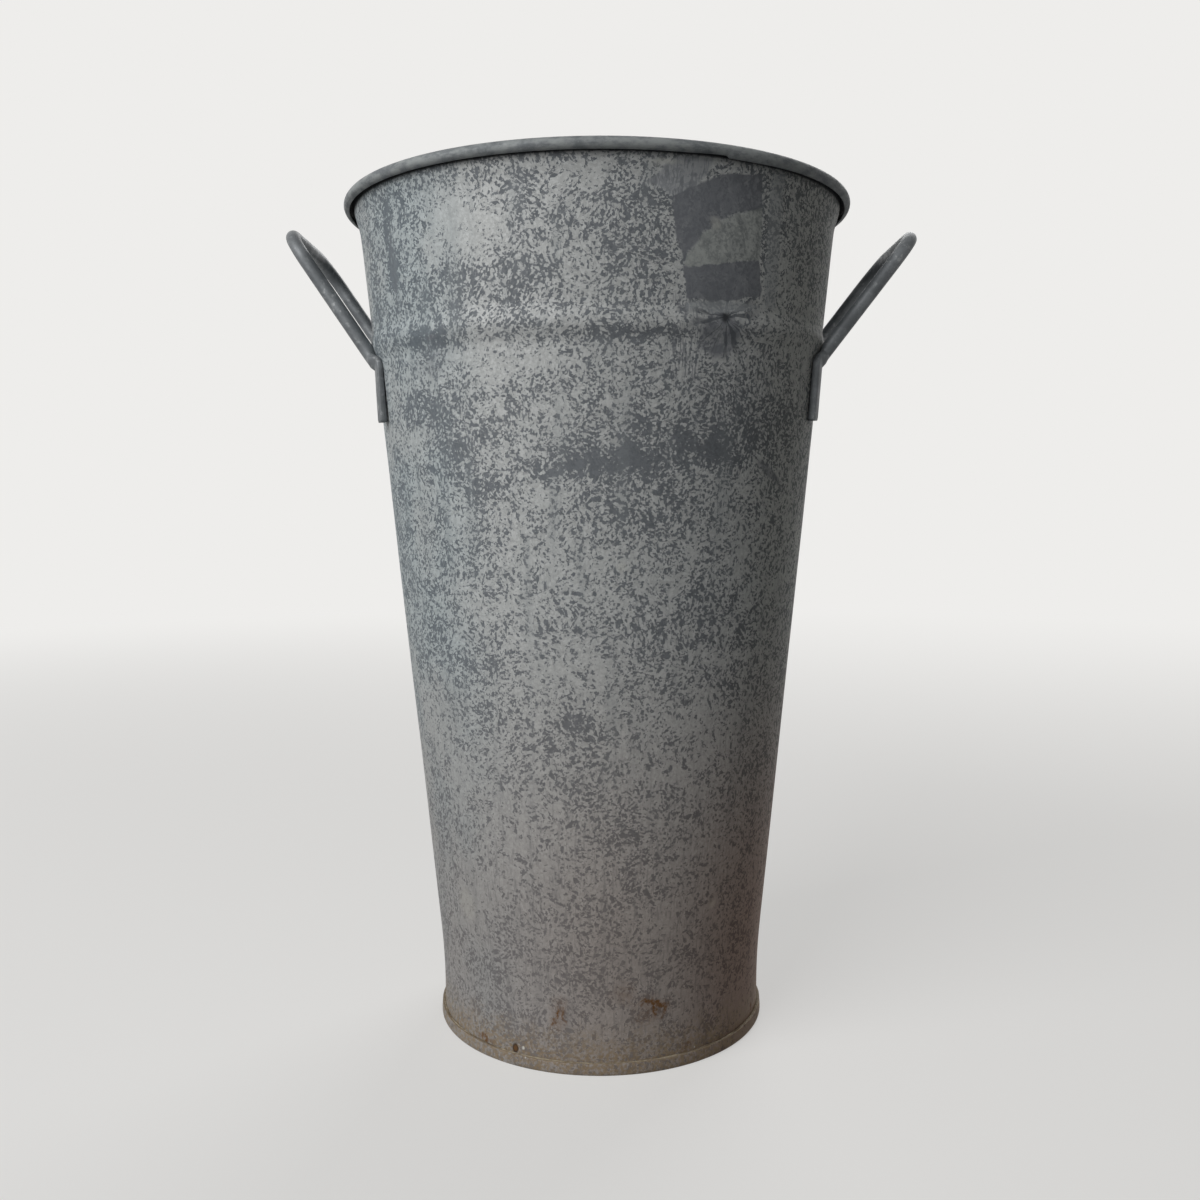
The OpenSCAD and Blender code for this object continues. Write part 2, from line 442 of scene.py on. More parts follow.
# A patch: bearing in degrees, height, half width and half height in mm, softness, strength, and for some a turn
# in degrees.
# Clouds where the dark flakes crowd (positive) or thin out (negative).
CLOUDS = (
    (-46, 282, 26, 9, 0.9, 0.16),
    (-36, 268, 15, 18, 0.9, 0.14),
    (-26, 270, 20, 7, 0.9, 0.10, 30),
    (-9, 255, 22, 9, 0.9, 0.18),
    (-8, 276, 22, 7, 0.9, -0.08),
    (8, 259, 24, 9, 0.9, 0.17),
    (24, 266, 24, 9, 0.9, 0.15, -20),
    (40, 270, 24, 14, 0.9, 0.08, -16),
    (-29, 246, 8, 14, 0.9, 0.12, 16),
    (4, 238, 40, 12, 0.9, 0.06),
    (4, 307, 34, 5, 0.8, 0.17),
    (9, 345, 16, 40, 0.9, 0.09),
    (-20, 330, 26, 9, 0.9, 0.13),
    (-53, 350, 5, 28, 0.9, 0.20),
    (-64, 335, 8, 34, 0.9, 0.08),
    (50, 345, 34, 30, 0.9, 0.09),
    (-26, 352, 26, 18, 0.9, -0.15),
    (-2, 366, 22, 8, 0.9, -0.10),
    (-22, 299, 30, 12, 0.9, -0.16),
    (-10, 172, 30, 20, 0.9, -0.12),
    (-40, 352, 16, 20, 0.9, -0.02),
    (-22, 232, 30, 22, 0.9, -0.05),
    (-5, 152, 9, 9, 0.9, 0.14),
    (-3, 132, 16, 26, 0.9, 0.07),
    (-40, 308, 18, 6, 0.9, 0.15),
    (-44, 150, 14, 12, 0.9, 0.06),
    (-38, 72, 20, 14, 0.9, -0.05),
    (124, 290, 40, 26, 0.9, 0.12),
    (160, 200, 50, 30, 0.9, 0.13, 14),
    (-150, 130, 46, 30, 0.9, 0.12),
    (-110, 240, 34, 40, 0.9, 0.09),
    (96, 130, 40, 44, 0.9, 0.08),
    (-170, 330, 50, 14, 0.9, 0.12),
)

# Smooth dark stains, without flakes.
STAINS = (
    (29, 311, 15, 11, 0.8, 0.30),
    (28.2, 307.5, 9.5, 9.5, 0.2, 0.60),
    (28.0, 302.5, 8.0, 2.2, 0.4, 0.40),
    (-39.5, 309, 3.4, 1.4, 0.8, 0.9),
    (-41, 300, 13, 9, 0.9, 0.3, 20),
    (48, 254.5, 14, 2.4, 0.7, 0.8, -28),
    (-52, 338, 3, 24, 0.9, 0.35),
    (-5.4, 154, 4.2, 3.6, 0.6, 0.5),
    (138, 318, 8, 5, 0.7, 0.5, -20),
    (-128, 96, 6, 14, 0.8, 0.5),
)

# Small pale spots of lime and splashes.
PALE = (
    (38, 70, 3.0, 2.2, 0.6, 0.8),
    (-47.5, 67, 9, 8, 0.5, 0.35),
    (6, 217, 2.6, 2.4, 0.6, 0.5),
    (26, 349, 2.8, 2.6, 0.6, 0.5),
    (14, 369, 7, 1.6, 0.8, 0.5),
    (150, 120, 5, 4, 0.6, 0.5),
    (-95, 205, 4, 6, 0.6, 0.4),
)


LONG_WAY = (0.5, 1.0, 0.85)  # the crystals are about twice as long as wide


def crystals(tree, position, height):
    """How dark the zinc froze from place to place, and three of the patterns that it is made of."""
    # each zinc grain, about 6 mm across, has its own direction, and its crystals lie along it
    turn = scaled(tree, as_vector(tree, cells(tree, position, 6).outputs["Color"]), TURN)
    turned = add(tree, "ShaderNodeVectorRotate", {"Vector": position, "Rotation": turn},
                 rotation_type="EULER_XYZ").outputs[0]
    ragged = add(tree, "ShaderNodeTexNoise", {
        "Vector": turned, "Scale": 1 / 0.7, "Detail": 1.0}).outputs["Color"]
    bent = on_vectors(tree, "ADD", turned, as_vector(tree, ragged))
    long_way = on_vectors(tree, "MULTIPLY", bent, LONG_WAY)
    cast = add(tree, "ShaderNodeSeparateColor", {0: cells(tree, long_way, 0.8).outputs["Color"]})
    leaves = cells(tree, long_way, 1.7)
    leaf_cast = add(tree, "ShaderNodeSeparateColor", {0: leaves.outputs["Color"]})
    flakes = pattern(tree, turned, 0.9, detail=4.0, rough=0.75, stretch=LONG_WAY)
    specks = pattern(tree, position, 0.5, detail=2.0, rough=0.7, shift=(31, 7, 3))
    grain = plus(tree, times(tree, flakes, 0.24), times(tree, cast.outputs[0], 0.44))
    grain = plus(tree, grain, times(tree, specks, 0.32))
    # here and there a crystal grew into a dark leaf 2 to 4 mm long, more so on the lower body
    leaf = times(tree, ramp_to(tree, leaf_cast.outputs[1], 0.80, 0.83),
                 ramp_to(tree, leaves.outputs["Distance"], 0.66, 0.54))
    leaf = times(tree, leaf, ramp_to(tree, height, 300.0, 150.0, 0.08, 0.26))
    return plus(tree, grain, leaf), cast, flakes, specks


def zinc_skin(name, colours, outside):
    """Weathered hot-dip galvanised sheet: zinc that froze in crystals and dulled to a matte patina.
    Pale and dark crystals give angular flecks 1 to 5 mm long, crowded into clouds, with a faint sheen."""
    material, tree = new_material(name)
    position, bearing, height = places(tree)
    flake, stain = opaque(colours.flake), opaque(colours.stain)

    grain, cast, flakes, specks = crystals(tree, position, height)
    patchy = pattern(tree, position, 9, detail=4.0, rough=0.65)
    cloudy = pattern(tree, position, 48, detail=2.0, rough=0.5, shift=(5, 9, 2))

    density = calc(tree, "MULTIPLY_ADD", patchy, 0.62, -0.31)
    density = plus(tree, density, calc(tree, "MULTIPLY_ADD", cloudy, 0.46, -0.23))
    if outside:
        flat = unrolled(tree, position, bearing, height, ((16, 6), (3.5, 1.6)))
        density = calc(tree, "MULTIPLY_ADD", patches(tree, flat, CLOUDS), 1.15, density)
        density = plus(tree, density, ramp_to(tree, height, 250.0, 110.0, 0.0, -0.055))
    else:
        density = plus(tree, density, 0.02)
    dark = ramp_to(tree, plus(tree, grain, density), 0.515, 0.585)

    shade = tint(tree, dark, opaque(colours.crystal), flake)
    # every crystal and speck reflects a little differently
    glint = plus(tree, times(tree, cast.outputs[1], 0.5), specks)
    glint = ramp_to(tree, plus(tree, glint, times(tree, flakes, 0.6)), 0.6, 1.5, 0.72, 1.14, smooth=False)
    glint = add(tree, "ShaderNodeCombineColor", {0: glint, 1: glint, 2: glint}).outputs[0]
    shade = filtered(tree, 1.0, shade, glint)
    # rain-washed vertical streaks, and fine short ones low down
    streaks = pattern(tree, position, 5, detail=3.0, stretch=(1, 1, 0.05))
    shade = tint(tree, ramp_to(tree, streaks, 0.50, 0.72, 0.0, 0.30), shade, paint("#858a8c"))
    fibres = pattern(tree, position, 1.0, detail=2.0, stretch=(1, 1, 0.12), shift=(7, 3, 1))
    fibres = times(tree, ramp_to(tree, fibres, 0.54, 0.66), ramp_to(tree, height, 190.0, 60.0, 0.0, 0.5))
    shade = tint(tree, fibres, shade, flake)
    sheen = by_share(tree, dark, 0.13, 0.04)
    matte = by_share(tree, dark, 0.55, 0.66)

    if outside:
        shade = weathered(tree, shade, position, bearing, height, cloudy, specks, stain)
    else:
        shade = stood_in(tree, shade, height, cloudy, colours)
    shade = foot_dirt(tree, shade, position, bearing, height, colours, outside)
    shade = rim_edge(tree, shade, position, bearing, height, specks, colours, outside)

    relief = plus(tree, times(tree, dark, -0.6), times(tree, specks, 0.8))
    close_material(tree, shade, relief, 0.25, 0.12 * MM,
                   {"Metallic": sheen, "Roughness": matte, "Specular IOR Level": 0.14})
    return material


def weathered(tree, shade, position, bearing, height, cloudy, specks, stain):
    """What years outdoors left on the outside, and painted shade on its right side."""
    # cool bloom on the left third, and a film of dirt that dulls and warms the lower body
    cool = times(tree, ramp_to(tree, bearing, -22.0, -46.0), ramp_to(tree, cloudy, 0.35, 0.6, 0.4, 1.0))
    shade = filtered(tree, cool, shade, (0.93, 1.0, 1.03, 1))
    fine = unrolled(tree, position, bearing, height, ((5, 1.2),))
    stained = calc(tree, "MINIMUM", patches(tree, fine, STAINS), 0.95)
    mottle = pattern(tree, position, 5, detail=4.0, rough=0.65, shift=(3, 1, 8))
    stained = times(tree, stained, ramp_to(tree, mottle, 0.25, 0.6, 0.45, 1.0))
    shade = tint(tree, stained, shade, stain)
    shade = burst(tree, shade, fine)
    shade = label_residue(tree, shade, fine, mottle, specks, stain)
    shade = tint(tree, ramp_to(tree, height, 230.0, 0.0, 0.0, 0.42), shade, paint("#918b88"))
    shade = tint(tree, calc(tree, "MINIMUM", patches(tree, fine, PALE), 1.0), shade, paint("#b9bab4"))
    # the lower body turns warmer and darker towards the bottom, most of all on the front right
    lower_share = ramp_to(tree, height, 210.0, 40.0)
    front_right = times(tree, ramp_to(tree, bearing, -30.0, 8.0), ramp_to(tree, bearing, 120.0, 72.0))
    warm_filter = tint(tree, front_right, (0.90, 0.855, 0.835, 1), (0.88, 0.79, 0.74, 1))
    warm_filter = tint(tree, times(tree, front_right, ramp_to(tree, bearing, 15.0, 66.0)), warm_filter,
                 (0.76, 0.51, 0.40, 1))
    shade = tint(tree, lower_share, shade, filtered(tree, 1.0, shade, warm_filter))
    # painted shade: the right side, turned away from the key light, is darkened, most of all higher up
    shaded_side = times(tree, ramp_to(tree, bearing, 30.0, 56.0), ramp_to(tree, bearing, 105.0, 70.0))
    shade = tint(tree, times(tree, shaded_side, ramp_to(tree, height, 60.0, 220.0, 0.2, 1.0)), shade,
                 filtered(tree, 1.0, shade, (0.74, 0.74, 0.71, 1)))
    return shade


def stood_in(tree, shade, height, cloudy, colours):
    """Standing water left the lower inside darker, with a wavering edge, and dirt on its floor."""
    level = plus(tree, height, calc(tree, "MULTIPLY_ADD", cloudy, 60.0, -30.0))
    film = ramp_to(tree, level, 210.0, 60.0, 0.25, 0.62)
    shade = tint(tree, film, shade, opaque(colours.inside))
    tide = ramp_to(tree, calc(tree, "ABSOLUTE", calc(tree, "SUBTRACT", level, 128.0)), 0.0, 7.0, 0.4, 0.0)
    shade = tint(tree, tide, shade, paint("#a5a39d"))
    return tint(tree, ramp_to(tree, height, 60.0, 8.0, 0.0, 0.55), shade, opaque(colours.dirt))


def rim_edge(tree, shade, position, bearing, height, specks, colours, outside):
    """The rim: dirt and painted shade in the open corner below it, painted near-black shade in the hollow under
    the roll, and zinc rubbed smooth over the top of it.
    """
    facing = calc(tree, "MAXIMUM", calc(tree, "COSINE", times(tree, bearing, math.pi / 180)), 0.0)
    rim_height = calc(tree, "MULTIPLY_ADD", calc(tree, "POWER", facing, 1.3), 0.6, height)
    if outside:
        # dirt and painted shade darken the open corner under the roll
        below = ramp_to(tree, rim_height, 370.0, 372.0, 0.0, 0.4)
        shade = tint(tree, below, shade, paint("#4c4f50"))
        # painted shade: the hollow underside of the roll is painted near-black
        shade = tint(tree, ramp_to(tree, rim_height, 372.0, 373.0), shade, paint("#202224"))
    else:
        # the rolled rim is rubbed smooth to an even mid grey
        rubbed = pattern(tree, position, 10, detail=5.0, rough=0.7, stretch=(1, 1, 2.5), shift=(1, 4, 2))
        rim_shade = tint(tree, ramp_to(tree, rubbed, 0.38, 0.64), opaque(colours.rim), paint("#73777a"))
        rim_shade = tint(tree, ramp_to(tree, specks, 0.5, 0.75, 0.0, 0.45), rim_shade, paint("#9fa2a1"))
        shade = tint(tree, ramp_to(tree, rim_height, 371.4, 372.0), shade, rim_shade)
    return shade


def burst(tree, shade, flat):
    """A splash mark whose dark streaks run out from one point."""
    from_middle = on_vectors(tree, "SUBTRACT", flat, (29.5 * DEGREE, 0, 314.5))
    axes = add(tree, "ShaderNodeSeparateXYZ", {0: from_middle})
    around = calc(tree, "ARCTAN2", axes.outputs[2], axes.outputs[0])
    reach = on_vectors(tree, "LENGTH", from_middle, result="Value")
    rays = add(tree, "ShaderNodeTexNoise", {"W": times(tree, around, 3.2), "Scale": 1.0, "Detail": 2.0},
               noise_dimensions="1D").outputs["Fac"]
    lines = times(tree, ramp_to(tree, rays, 0.50, 0.56), ramp_to(tree, reach, 8.0, 20.0, 0.85, 0.0))
    shade = tint(tree, lines, shade, paint("#54585c"))
    return tint(tree, ramp_to(tree, reach, 0.6, 3.2, 0.95, 0.0), shade, paint("#25272a"))


# Corners of the label's marks: bearing in degrees and height in mm, clockwise.
LABEL = ((15.6, 357), (21.7, 362.8), (26.4, 366.5), (36.7, 368.8), (38.0, 352), (38.3, 336), (19.3, 331.5),
         (16.8, 345))
LABEL_MIDDLE = ((23.5, 345.5), (26.3, 349.5), (30.7, 353.5), (36.6, 357.2), (39.5, 358.5), (39.5, 336.6),
                (19.0, 331.2), (19.3, 336.2))
LABEL_BAND = ((19.0, 331.8), (28.2, 334.6), (38.1, 337.2), (39.4, 323.8), (27.4, 320.2), (19.6, 320.6))
LABEL_STRIP = ((19.6, 321.5), (27.4, 321.0), (39.4, 324.5), (39.0, 319.0), (27.4, 315.5), (19.8, 317.0))
BARE_ABOVE = ((16.6, 371.5), (24.0, 371.5), (23.4, 366.0), (19.0, 359.0), (15.4, 357.5), (11.0, 362.0))
COMBED = ((16.5, 322.0), (23.5, 320.0), (23.5, 290.0), (16.5, 290.0))
WIPED_BESIDE = ((39.5, 371.0), (43.5, 371.0), (44.5, 320.0), (40.5, 320.0))


def label_residue(tree, shade, flat, mottle, specks, stain):
    """Where a square label once sat: smooth darker zinc in an arch and a band, with a paler torn middle."""
    wiped = within(tree, flat, WIPED_BESIDE, 2.5, 0.6)
    shade = tint(tree, wiped, shade, paint("#9a9ea0"))
    bare = within(tree, flat, BARE_ABOVE, 1.6, 0.8)
    shade = tint(tree, bare, shade, paint("#94979a"))
    lines = pattern(tree, flat, 0.8, detail=1.0, stretch=(1, 1, 0.05), shift=(2, 8, 1))
    combed = calc(tree, "MAXIMUM", bare, within(tree, flat, COMBED, 3.0))
    shade = tint(tree, times(tree, combed, ramp_to(tree, lines, 0.5, 0.60, 0.0, 0.7)), shade, stain)
    whole = within(tree, flat, LABEL)
    middle = within(tree, flat, LABEL_MIDDLE, 1.4)
    band = within(tree, flat, LABEL_BAND)
    strip = within(tree, flat, LABEL_STRIP, 1.6, 0.7)
    shade = tint(tree, strip, shade, paint("#989c9e"))
    dark = calc(tree, "MAXIMUM", times(tree, whole, calc(tree, "SUBTRACT", 1.0, middle)), band)
    pale = times(tree, times(tree, whole, middle), calc(tree, "SUBTRACT", 1.0, dark))
    paper = tint(tree, ramp_to(tree, mottle, 0.35, 0.65), paint("#a2a6a3"), paint("#868a89"))
    shade = tint(tree, times(tree, pale, 0.8), shade, paper)
    glue = tint(tree, ramp_to(tree, specks, 0.45, 0.8, 0.0, 0.5), stain, paint("#7c8083"))
    return tint(tree, times(tree, dark, ramp_to(tree, mottle, 0.3, 0.55, 0.78, 0.94)), shade, glue)


# Rust, and specks of lime, near the foot.
RUST = (
    (-14.5, 25, 1.3, 6, 0.8, 0.8, -24),
    (-11.0, 25, 1.2, 6, 0.8, 0.7, 24),
    (-13, 26, 6, 9, 0.9, 0.45),
    (15, 30, 6, 1.6, 0.8, 0.7),
    (20, 29, 8, 1.5, 0.8, 0.8, -16),
    (18, 27, 1.4, 6, 0.8, 0.7, 24),
    (22, 25, 1.4, 5, 0.8, 0.6, -30),
    (17, 27, 14, 7, 0.9, 0.40),
    (8, 36, 9, 8, 0.9, 0.30),
    (-42, 6.6, 9, 1.4, 0.8, 0.9),
    (68, 9, 2.4, 3, 0.6, 1.0),
    (30, 9, 5, 2.5, 0.8, 0.5),
    (112, 16, 9, 8, 0.8, 0.7),
    (150, 26, 6, 10, 0.8, 0.6, 10),
    (-160, 12, 12, 6, 0.8, 0.8),
    (-104, 20, 5, 8, 0.8, 0.6, -14),
)
LIME = ((-26, 8.2, 0.8, 0.9, 0.5, 1.0), (-24.5, 5.0, 0.5, 0.5, 0.5, 0.7), (33, 6.5, 0.6, 0.5, 0.5, 0.7))


def foot_dirt(tree, shade, position, bearing, height, colours, outside):
    """Dirt and rust that creep up from the hem."""
    broken = pattern(tree, position, 9, detail=4.0, rough=0.65, shift=(11, 2, 5))
    lumps = pattern(tree, position, 1.5, detail=3.0, rough=0.65, shift=(2, 12, 5))
    line = ramp_to(tree, plus(tree, height, calc(tree, "MULTIPLY_ADD", broken, -26.0, 13.0)), 26.0, 4.0)
    shade = tint(tree, times(tree, line, ramp_to(tree, lumps, 0.40, 0.60, 0.12, 0.85)), shade,
                 opaque(colours.dirt))
    if not outside:
        return shade
    flat = unrolled(tree, position, bearing, height, ((7, 4.0), (2, 1.6)))
    close = unrolled(tree, position, bearing, height, ((1.5, 0.5),))
    spots = calc(tree, "MINIMUM", patches(tree, flat, RUST), 1.0)
    spots = times(tree, spots, ramp_to(tree, lumps, 0.36, 0.56, 0.4, 1.0))
    shade = tint(tree, spots, shade, opaque(colours.rust))
    # a small round spot with a darker edge, and specks of lime beside it
    shade = tint(tree, patch(tree, close, -29, 7.3, 2.3, 2.3, 0.3, 0.9), shade, paint("#3d2c1c"))
    shade = tint(tree, patch(tree, close, -29, 7.4, 1.5, 1.5, 0.6, 0.9), shade, opaque(colours.rust))
    return tint(tree, patches(tree, close, LIME), shade, paint("#d3d1ca"))


def settled_dust(name, colours):
    """Dry dust and lime caught in a fold: matte, chalky and lumpy, so it scatters light and never shines."""
    material, tree = new_material(name)
    position = places(tree)[0]
    lumps = pattern(tree, position, 2.5, detail=4.0, rough=0.7, shift=(6, 1, 4))
    long_lumps = pattern(tree, position, 16, detail=2.0, shift=(1, 5, 4))
    shade = tint(tree, ramp_to(tree, lumps, 0.40, 0.62), paint("#a89d88"), paint("#847763"))
    shade = tint(tree, ramp_to(tree, long_lumps, 0.52, 0.64, 0.0, 0.7), shade, paint("#5b4c3a"))
    close_material(tree, shade, lumps, 0.5, 0.2 * MM, {"Roughness": 0.9})
    return material


def zinc_rod(name, colours):
    """Dark galvanised round bar: a thin smooth zinc coat, dulled by handling, with pale worn specks."""
    material, tree = new_material(name)
    position = places(tree)[0]
    soft = pattern(tree, position, 9, detail=3.0, rough=0.6)
    specks = pattern(tree, position, 2.6, detail=3.0, rough=0.65, shift=(4, 4, 9))
    fine = pattern(tree, position, 1.0, detail=1.0, shift=(9, 2, 1))
    shade = tint(tree, ramp_to(tree, soft, 0.35, 0.65), opaque(colours.rod), paint("#5d6164"))
    worn = times(tree, ramp_to(tree, specks, 0.55, 0.70), ramp_to(tree, soft, 0.62, 0.42))
    shade = tint(tree, times(tree, worn, 0.75), shade, opaque(colours.rod_speck))
    shade = tint(tree, ramp_to(tree, fine, 0.6, 0.75, 0.0, 0.3), shade, paint("#4b4e50"))
    relief = plus(tree, times(tree, specks, 0.7), times(tree, fine, 0.3))
    close_material(tree, shade, relief, 0.25, 0.2 * MM, {
        "Metallic": by_share(tree, worn, 0.2, 0.35),
        "Roughness": ramp_to(tree, soft, 0.3, 0.7, 0.44, 0.58, smooth=False)})
    return material


# ---- operators

class BUCKET_OT_wall(bpy.types.Operator):
    """Make the tapered wall with its raised ring and rolled rim"""
    bl_idname = "bucket.wall"
    bl_label = "Make the wall"

    def execute(self, context):
        sheet, colours = context.scene.bucket_sheet, context.scene.bucket_colours
        half = sheet.sheet / 2
        roll_z = sheet.height - sheet.roll_radius
        mouth = sheet.rim_radius - sheet.roll_reach
        bend = sheet.roll_radius - sheet.sheet
        roll_r = sheet.rim_radius - sheet.roll_radius
        ring_z = sheet.height - sheet.ring_drop
        profile = [(wall_radius(sheet, z) - half, z) for z in self.levels(sheet, roll_z, ring_z)]
        profile += arc((mouth + bend, roll_z), bend + half, math.pi, math.pi / 2, 6)
        profile += arc((roll_r, roll_z), sheet.roll_radius - half,
                       math.pi / 2, -math.pi / 2 - sheet.roll_tuck, 18)
        bm = spin_profile(profile)
        for vert in bm.verts:
            self.open_lap(sheet, vert.co, roll_r, roll_z)
            wear_in(sheet, vert.co)
        face_out(bm, lambda normal, middle:
                 math.copysign(middle.z < ring_z, normal.x * middle.x + normal.y * middle.y))
        piece = finish_piece("bucket_wall", bm, [
            zinc_skin("weathered_galvanised_outside", colours, True),
            zinc_skin("weathered_galvanised_inside", colours, False)], "wall")
        thicken(piece, sheet.sheet, 0.18 * MM)
        return {"FINISHED"}

    def levels(self, sheet, roll_z, ring_z):
        """Heights of the profile's points, closer together over the ring and the flare."""
        flare_z = roll_z - sheet.flare_height
        even = (sheet.sheet + (roll_z - sheet.sheet) * i / PLAIN_STEPS for i in range(PLAIN_STEPS))
        clear = sheet.ring_width / 2 + 1 * MM
        made = [z for z in even if abs(z - ring_z) > clear and z < flare_z - 1 * MM]
        made += [ring_z + sheet.ring_width * (i / RING_STEPS - 0.5) for i in range(RING_STEPS + 1)]
        made += [flare_z + sheet.flare_height * i / FLARE_STEPS for i in range(FLARE_STEPS)]
        return sorted(made)

    def open_lap(self, sheet, point, roll_r, roll_z):
        """Where the ends of the rolled edge meet, its lower edge steps from a little high to a little low."""
        radius = math.hypot(point.x, point.y)
        if point.z < roll_z - sheet.roll_radius * 1.5:
            return
        bearing = bearing_of(point)
        # one column of points moves up to the step, which makes it sharp
        if near_bearing(bearing, LAP - 0.9) < 0.2:
            closer = Matrix.Rotation(math.radians(0.8), 3, "Z") @ point
            point.x, point.y = closer.x, closer.y
            bearing += 0.8
        below = smooth_step(roll_z + 0.5 * MM, roll_z - 1.6 * MM, point.z)
        outer = smooth_step(roll_r - 2.4 * MM, roll_r - 1.0 * MM, radius)
        past = smooth_step(LAP, LAP + 0.5, bearing)
        high, low = smooth_step(16, 26, bearing) * (1 - past), smooth_step(48, 30, bearing) * past
        point.z += (0.5 * high - 0.4 * low) * MM * below * outer


class BUCKET_OT_floor_pan(bpy.types.Operator):
    """Make the floor pan, whose edge folds up outside the wall as the hem"""
    bl_idname = "bucket.floor_pan"
    bl_label = "Make the floor pan"

    def execute(self, context):
        sheet, colours = context.scene.bucket_sheet, context.scene.bucket_colours
        thick = sheet.sheet * 0.96  # a little under the sheet, so that the bent skin stays inside the solid
        half = thick / 2
        corner = 0.55 * MM
        skirt = sheet.hem_radius - 2 * sheet.sheet - sheet.hem_slit - 0.03 * MM - half
        lip = sheet.hem_radius - half
        top = sheet.floor_height - half
        profile = [(skirt * i / 8, top) for i in range(8)]
        profile += arc((skirt - corner, top - corner), corner, math.pi / 2, 0, 4)
        profile += arc((skirt + corner, half + corner), corner, math.pi, 3 * math.pi / 2, 4)
        profile += arc((lip - corner, half + corner), corner, -math.pi / 2, 0, 4)
        profile += [(lip, half + corner + (sheet.hem_height - half - corner) * i / 4) for i in range(1, 5)]
        bm = spin_profile(profile)
        for vert in bm.verts:
            self.bend_lip(sheet, vert.co, skirt)
        face_out(bm, lambda normal, middle:
                 math.copysign(math.hypot(middle.x, middle.y) < skirt * 0.9, -normal.z))
        piece = finish_piece("floor_pan_and_hem", bm, [
            zinc_skin("weathered_galvanised_hem", colours, True),
            zinc_skin("weathered_galvanised_floor", colours, False)], "floor_pan")
        thicken(piece, thick, 0.16 * MM)
        self.dust(sheet, colours)
        return {"FINISHED"}

    def dust(self, sheet, colours):
        """A ring of dust that fills the slit behind the lip."""
        middle = sheet.hem_radius - sheet.sheet - sheet.hem_slit / 2
        low = sheet.hem_height - 1.15 * MM
        turns = [TURN * i / 10 for i in range(10)]
        bm = spin_profile([(middle - 0.62 * MM * math.sin(turn), low + 1.1 * MM * math.cos(turn))
                           for turn in turns], closed=True)
        for vert in bm.verts:
            vert.co.z += 0.35 * MM * noise.noise(vert.co * 160)
        finish_piece("dust_in_hem", bm, [settled_dust("settled_dust", colours)], None)

    def bend_lip(self, sheet, point, skirt):
        """The lip of the hem wavers a little, and the floor sags a little."""
        radius = math.hypot(point.x, point.y)
        if radius < skirt - 2 * MM:
            point.z -= 0.5 * MM * (1 - (radius / skirt) ** 2)
        elif radius > skirt + 1.3 * MM and point.z > 2 * MM:
            bearing = math.radians(bearing_of(point))

            def waver(size, seed):
                return noise.noise(Vector((math.cos(bearing) * size, math.sin(bearing) * size, seed)))

            rise = smooth_step(2 * MM, sheet.hem_height, point.z)
            scale = 1 - rise * (0.22 + 0.2 * waver(5, 3)) * MM / radius
            point.x *= scale
            point.y *= scale
            point.z -= rise * (0.25 + 0.25 * waver(9, 1)) * MM


# Lower and upper end of a handle's feet in mm: how far aside, thickness, gap to the wall.
LEFT_FEET = ((40.1, 3.1, 0.7), (41.3, 2.7, 0.0))
RIGHT_FEET = ((37.4, 3.5, 0.0), (40.3, 3.5, 0.0))
ROD_SIDES = 24
ROUND, SQUARISH = 2, 5.5  # powers of a section's outline


